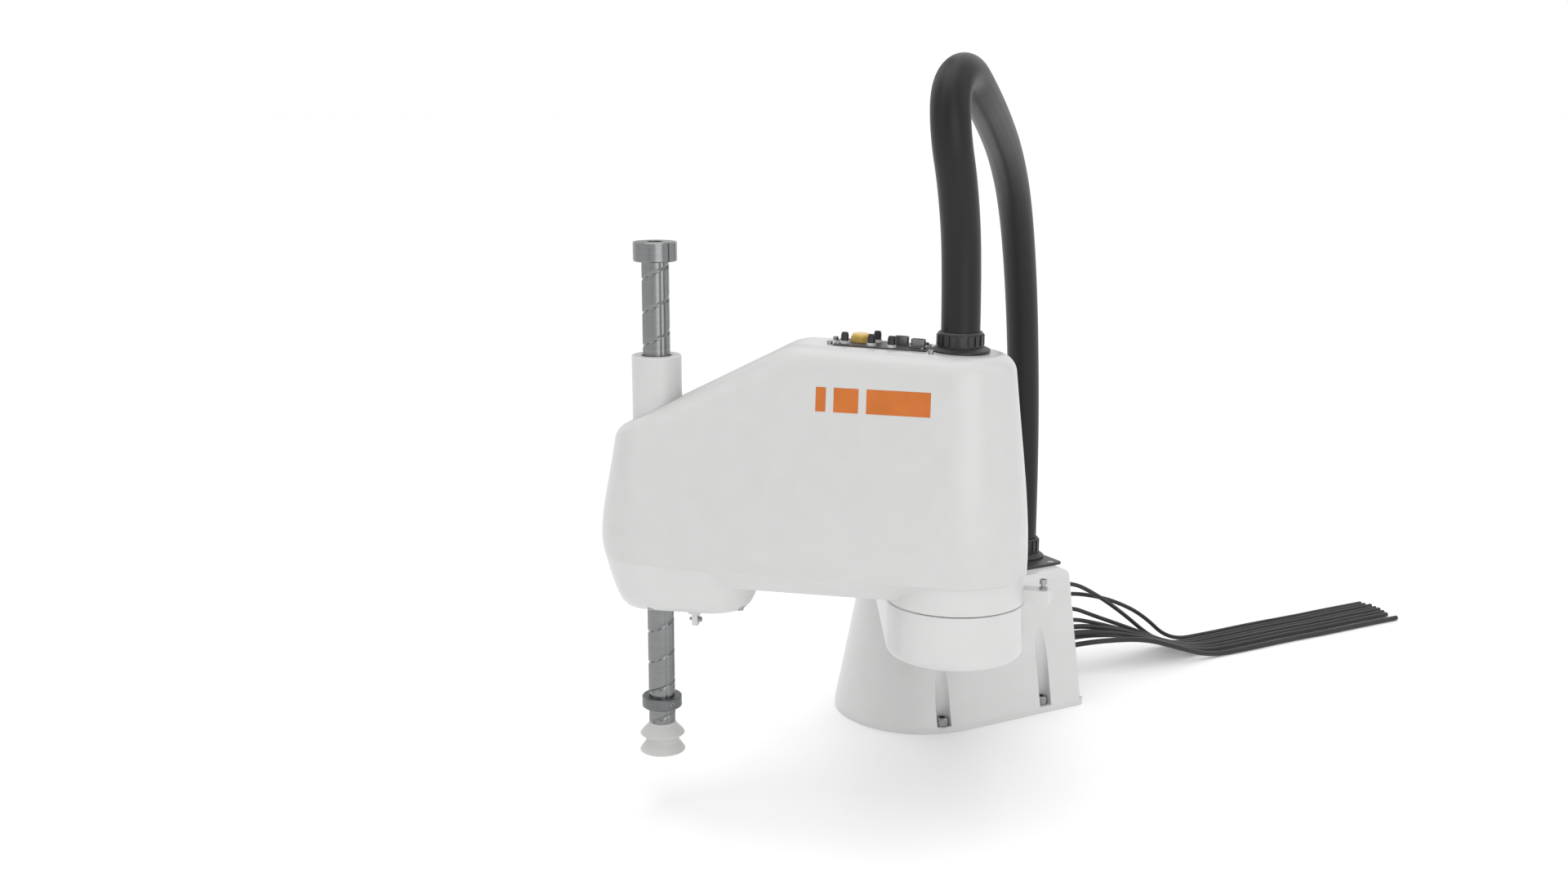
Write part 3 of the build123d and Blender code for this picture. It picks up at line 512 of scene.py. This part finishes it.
def make_quill():
    """Ball screw spline: one right-hand helical groove and four straight ones.

    The grid itself is wound along the helix, so both kinds of groove run along its lines."""
    low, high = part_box("quill_shaft")
    radius = (high.x - low.x) / 2
    stem_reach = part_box("cup_stem")[1].z - low.z
    model = bmesh.new()
    row_height = SCREW_LEAD / ROWS_PER_LEAD
    rows = int((high.z - low.z) / row_height) + 2 * ROWS_PER_LEAD
    start = low.z - SCREW_LEAD
    columns = []
    for i in range(AROUND):
        turn = 2 * pi * i / AROUND
        spoke = Vector((cos(turn), sin(turn), 0))
        spline_step = 2 * pi / SPLINE_COUNT
        off_spline = ((turn + spline_step / 2) % spline_step - spline_step / 2) * radius
        column = []
        for j in range(rows):
            off_helix = ((j + ROWS_PER_LEAD / 2) % ROWS_PER_LEAD - ROWS_PER_LEAD / 2) * row_height
            helix_cut = groove(off_helix, GROOVE_HALF, GROOVE_DEPTH)
            cut = max(helix_cut, groove(off_spline, SPLINE_HALF, SPLINE_DEPTH))
            place = Vector((quill_axis.x, quill_axis.y, 0)) + spoke * (radius - cut)
            place.z = start + j * row_height + SCREW_LEAD * i / AROUND
            column.append(model.verts.new(place))
        columns.append(column)
    for i in range(AROUND):
        shift = ROWS_PER_LEAD if i == AROUND - 1 else 0
        here, beside = columns[i], columns[(i + 1) % AROUND]
        for j in range(rows - 1 - shift):
            model.faces.new((here[j], beside[j + shift], beside[j + 1 + shift], here[j + 1]))
    for height, normal in ((low.z, (0, 0, -1)), (high.z, (0, 0, 1))):
        everything = model.verts[:] + model.edges[:] + model.faces[:]
        bmesh.ops.bisect_plane(
            model,
            geom=everything,
            dist=SPLIT_TOLERANCE,
            plane_co=(0, 0, height),
            plane_no=normal,
            clear_outer=True,
        )
        rim = []
        for edge in model.edges:
            if edge.is_boundary and abs(edge.verts[0].co.z - height) < SAME_HEIGHT:
                rim.append(edge)
        end_ring(model, rim, QUILL_BORE, height, -normal[2] * min(stem_reach, BORE_DEPTH))
    mesh = finish_mesh("ball_screw_spline", model, 50)
    piece = new_piece("ball_screw_spline", mesh, "quill", "chrome_steel")
    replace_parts(piece, "quill_shaft")


def end_ring(model, rim, bore, height, depth):
    """Flat end round a bore, with the bore's wall going in."""
    for radius, level in ((bore, height), (bore, height + depth)):
        grown = bmesh.ops.extrude_edge_only(model, edges=rim)["geom"]
        for vertex in (part for part in grown if isinstance(part, bmesh.types.BMVert)):
            spoke = Vector((vertex.co.x - quill_axis.x, vertex.co.y - quill_axis.y, 0)).normalized()
            vertex.co = Vector((quill_axis.x, quill_axis.y, level)) + spoke * radius
        rim = [part for part in grown if isinstance(part, bmesh.types.BMEdge)]
    bmesh.ops.holes_fill(model, edges=rim, sides=0)


def lathe(name, centre, profile, around=64):
    """Closed round piece from a closed profile of (radius, height) points."""
    model = bmesh.new()
    rings = []
    for k in range(around):
        turn = 2 * pi * k / around
        spoke = Vector((cos(turn), sin(turn), 0))
        rings.append([model.verts.new(centre + spoke * r + Vector((0, 0, z))) for r, z in profile])
    rings.append(rings[0])
    skin_rings(model, rings, close_ends=False)
    return finish_mesh(name, model)


def rounded(points, rounds=2):
    """Closed outline with its corners cut off evenly, again and again, until they are round."""
    for _ in range(rounds):
        cut = []
        for here, after in zip(points, points[1:] + points[:1]):
            for share in (0.25, 0.75):
                cut.append(tuple(a + (b - a) * share for a, b in zip(here, after)))
        points = cut
    return points


def make_cup():
    """Two-bellows silicone cup with soft folds."""
    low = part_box("suction_cup")[0].z
    outside = [(9, 29), (12.6, 28.4), (13, 26), (21, 17.6), (21, 16.4), (13.6, 11.5), (21.4, 1.2), (21.2, 0)]
    inside = [(20, 0), (11.2, 11), (11.2, 12.2), (18.2, 17), (11, 24), (7, 24), (7, 27), (9, 27)]
    profile = rounded([(r * MM, z * MM) for r, z in outside + inside])
    mesh = lathe("bellows_cup", Vector((quill_axis.x, quill_axis.y, low)), profile)
    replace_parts(new_piece("bellows_cup", mesh, "quill", "cup_silicone"), "suction_cup")


# ---------------------------------------------------------------- screws that hold the base down
HEAD_RADIUS = 6.5 * MM
HEAD_HEIGHT = 8 * MM
SOCKET_RADIUS = 3.46 * MM
SOCKET_DEPTH = 4 * MM
WASHER_RADIUS = 7.3 * MM
WASHER_THICK = 1.4 * MM
FLANGE_TOP = 7 * MM
KNURLS = 36
KNURL_DEPTH = 0.25 * MM
HEAD_BEVEL = 0.8 * MM


def base_screw(name, place):
    """M8 socket cap screw on its washer, with a knurled head."""
    model = bmesh.new()
    around = KNURLS * 2
    seat = FLANGE_TOP + WASHER_THICK
    top = seat + HEAD_HEIGHT
    levels = [
        (WASHER_RADIUS, FLANGE_TOP, False),
        (WASHER_RADIUS, seat, False),
        (HEAD_RADIUS, seat, True),
        (HEAD_RADIUS, top - HEAD_BEVEL, True),
        (HEAD_RADIUS - HEAD_BEVEL, top, False),
    ]
    rings = []
    for radius, height, knurled in levels:
        ring = []
        for k in range(around):
            turn = 2 * pi * k / around
            reach = radius - (KNURL_DEPTH if knurled and k % 2 else 0)
            ring.append(model.verts.new(place + Vector((cos(turn) * reach, sin(turn) * reach, height))))
        rings.append(ring)
    for height in (top, top - SOCKET_DEPTH):
        ring = []
        for k in range(around):
            turn = 2 * pi * k / around
            flat = cos(pi / 6) / cos((turn % (pi / 3)) - pi / 6)
            reach = SOCKET_RADIUS * flat
            ring.append(model.verts.new(place + Vector((cos(turn) * reach, sin(turn) * reach, height))))
        rings.append(ring)
    skin_rings(model, rings)
    new_piece(name, finish_mesh(name, model, 25), "base", "steel_screws")


def make_base_screws():
    pattern = mounts["base_bolts"]
    centre = Vector(pattern["pos_m"])
    half_x = pattern["dims"]["spacing_x_mm"] / 2 * MM
    half_y = pattern["dims"]["spacing_y_mm"] / 2 * MM
    for i, (x, y) in enumerate(((1, 1), (1, -1), (-1, 1), (-1, -1)), 1):
        base_screw(f"base_screw_{i}", centre + Vector((x * half_x, y * half_y, 0)))


# ---------------------------------------------------------------- printed mark
MARK_HEIGHT = 0.407  # middle of the mark above the mounting plane
MARK_START = 0.018  # distance along the arm from the elbow axis
MARK_RISE = 0.021
MARK_PROUD = 0.12 * MM
MARK_BARS = ((0.0, 0.056), (0.063, 0.022), (0.092, 0.009))  # start and width of each bar
MARK_STEP = 1.5 * MM
MARK_STAND_OFF = 0.2  # where the rays that find the cover's side start from


def make_mark():
    """Three plain upright bars of falling width, printed on the cover's side."""
    cover = frame["nodes"]["outer_arm_cover"]
    corners = [vertex.co for vertex in cover.data.vertices]
    surface = BVHTree.FromPolygons(corners, [face.vertices[:] for face in cover.data.polygons])
    model = bmesh.new()
    for start, width in MARK_BARS:
        across = max(2, round(width / MARK_STEP))
        upward = round(MARK_RISE / MARK_STEP)
        grid = []
        for i in range(across + 1):
            column = []
            for j in range(upward + 1):
                along = MARK_START + start + width * i / across
                height = MARK_HEIGHT - MARK_RISE / 2 + MARK_RISE * j / upward
                on_axis = Vector((elbow.x, elbow.y, height))
                outside = on_axis + arm_along * along + arm_side * MARK_STAND_OFF
                hit = surface.ray_cast(outside, -arm_side)[0]
                column.append(model.verts.new(hit + arm_side * MARK_PROUD))
            grid.append(column)
        for left, right in zip(grid, grid[1:]):
            for j in range(upward):
                model.faces.new((left[j], right[j], right[j + 1], left[j + 1]))
    new_piece("side_mark", finish_mesh("side_mark", model), "outer_arm", "orange_mark")


# ---------------------------------------------------------------- floor
FLOOR_HALF = 60
FLOOR_CELLS = 24


def make_floor():
    model = bmesh.new()
    bmesh.ops.create_grid(model, x_segments=FLOOR_CELLS, y_segments=FLOOR_CELLS, size=FLOOR_HALF)
    floor = bpy.data.objects.new("floor", finish_mesh("floor", model))
    bpy.context.scene.collection.objects.link(floor)
    paint = textured("pale_floor", (0.97, 0.97, 0.97), 0.7, 40, 0.02, tone=0.01)
    floor.data.materials.append(paint)
    floor.location.z = -0.2 * MM


make_camera()
make_cables()
make_hose()
make_studio()
make_floor()
dress_cad_nodes()
make_quill()
make_cup()
make_base_screws()
make_mark()

bpy.context.view_layer.update()
